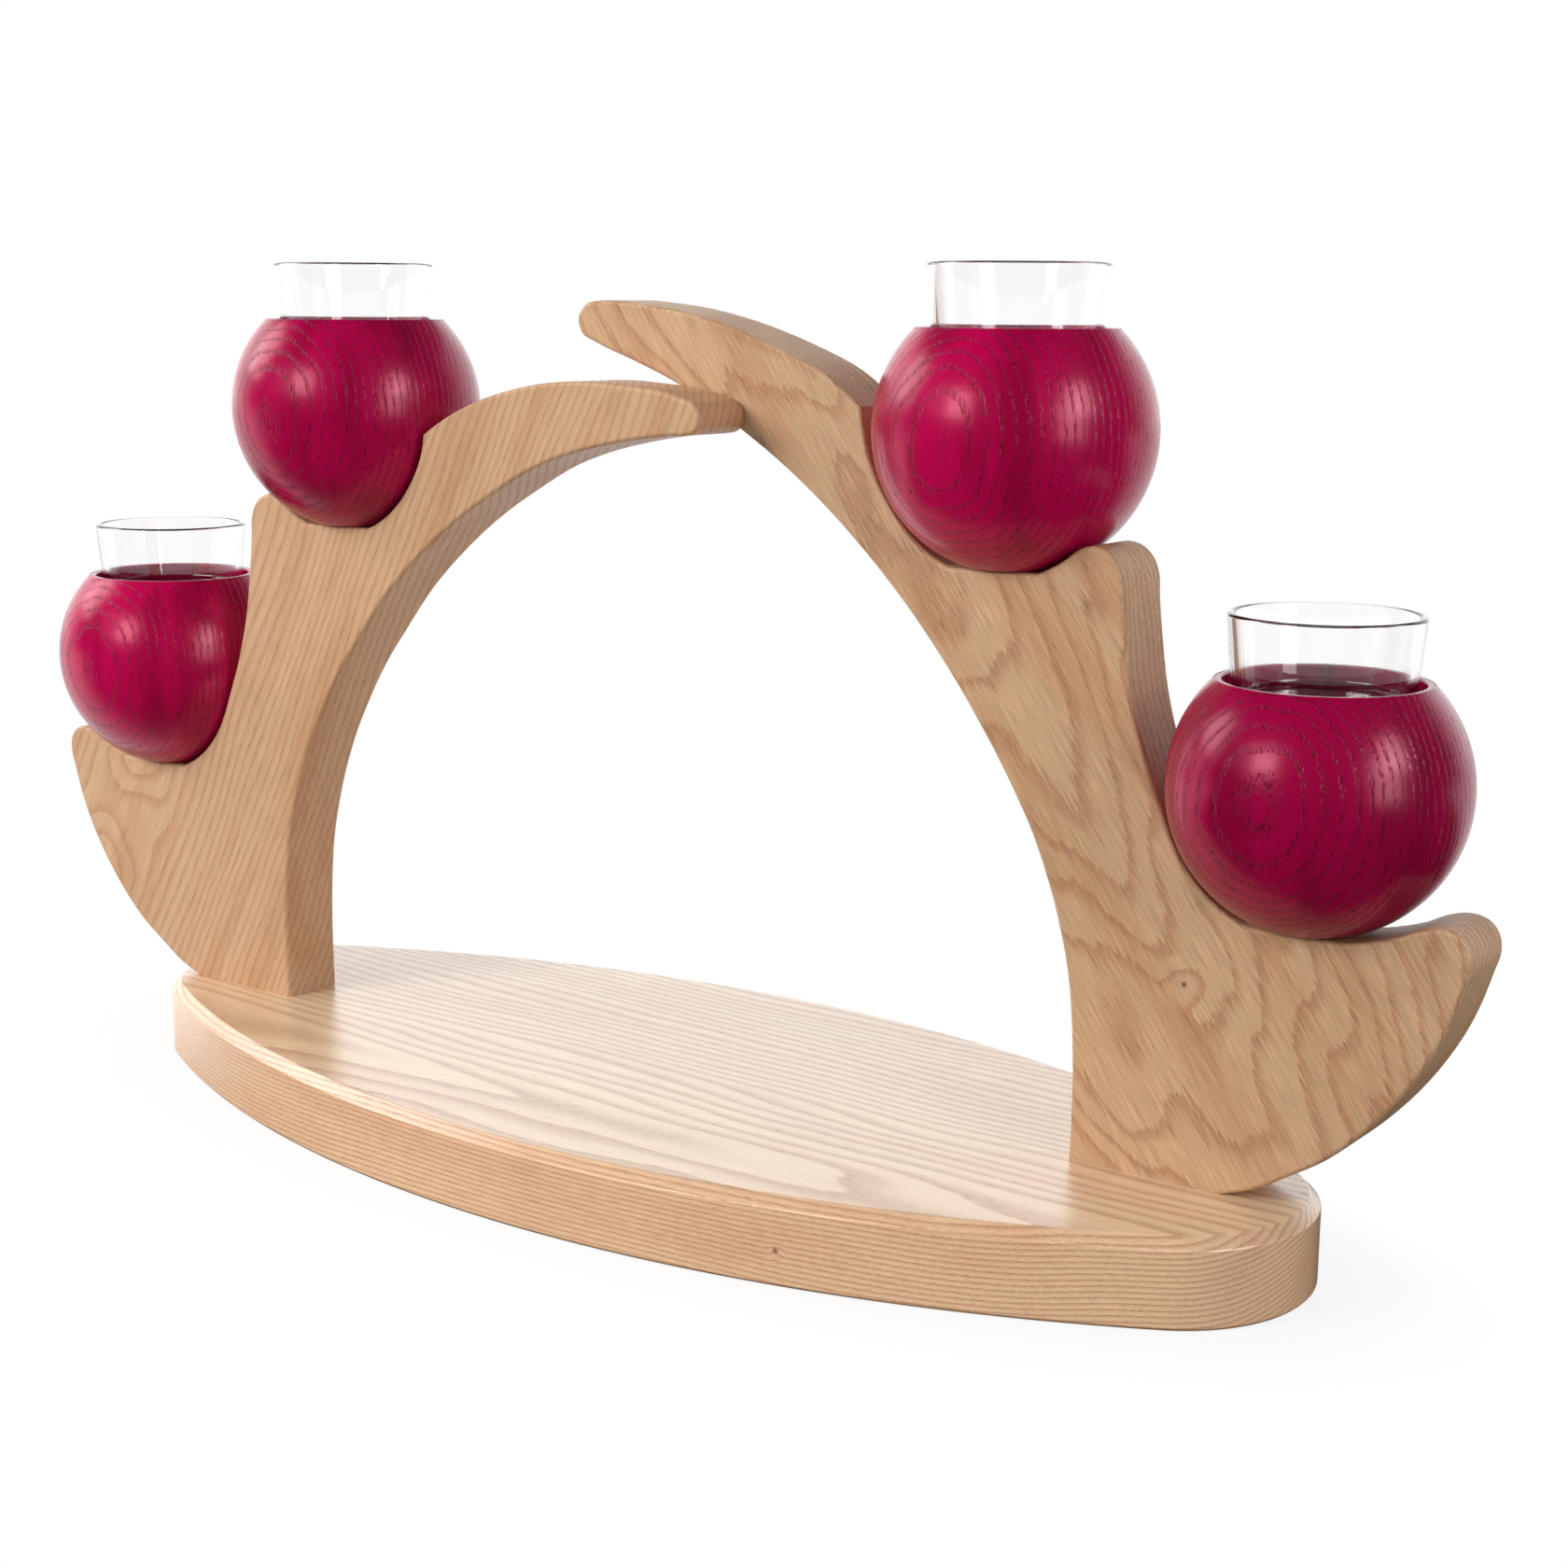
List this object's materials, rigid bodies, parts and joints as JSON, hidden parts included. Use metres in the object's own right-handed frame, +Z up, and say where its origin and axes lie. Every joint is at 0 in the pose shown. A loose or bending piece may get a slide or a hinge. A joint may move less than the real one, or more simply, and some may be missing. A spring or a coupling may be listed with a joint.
{
  "type": "advent candle holder",
  "caption": "Wooden arch with turned crimson balls on curved ash plates over a lens-shaped base; each ball holds a clear glass tealight cup.",
  "frame": {"origin": "under the middle of the arch, on the underside of the base", "axes": "+X along the arch to the end that is nearer in the picture, +Y away from the front, +Z up"},
  "size_m": [0.489, 0.162, 0.257],
  "materials": {
    "pale_ash": "oiled ash board, satin",
    "ash": "oiled ash, satin, grain along each arm",
    "stained_ash": "turned ash stained crimson, satin",
    "clear_glass": "clear, fire-polished rim",
    "beech": "plain beech dowel",
    "steel": "zinc-plated steel"
  },
  "bodies": {
    "holder": {"base": "pale_ash", "left_arch_plate": "ash", "right_arch_plate": "ash", "upper_left_ball": "stained_ash", "upper_right_ball": "stained_ash", "lower_left_ball": "stained_ash", "lower_right_ball": "stained_ash", "upper_left_dowel": "beech", "upper_right_dowel": "beech", "lower_left_dowel": "beech", "lower_right_dowel": "beech", "left_inner_screw": "steel", "left_outer_screw": "steel", "right_inner_screw": "steel", "right_outer_screw": "steel", "apex_pin": "steel"},
    "upper_left_glass": {"upper_left_glass": "clear_glass"},
    "upper_right_glass": {"upper_right_glass": "clear_glass"},
    "lower_left_glass": {"lower_left_glass": "clear_glass"},
    "lower_right_glass": {"lower_right_glass": "clear_glass"}
  },
  "joints": [
    {"name": "upper_left_glass_lift", "type": "slide", "parent": "holder", "child": "upper_left_glass", "axis": [0, 0, 1], "range_m": [0, 0.04]},
    {"name": "upper_right_glass_lift", "type": "slide", "parent": "holder", "child": "upper_right_glass", "axis": [0, 0, 1], "range_m": [0, 0.04]},
    {"name": "lower_left_glass_lift", "type": "slide", "parent": "holder", "child": "lower_left_glass", "axis": [0, 0, 1], "range_m": [0, 0.04]},
    {"name": "lower_right_glass_lift", "type": "slide", "parent": "holder", "child": "lower_right_glass", "axis": [0, 0, 1], "range_m": [0, 0.04]}
  ]
}
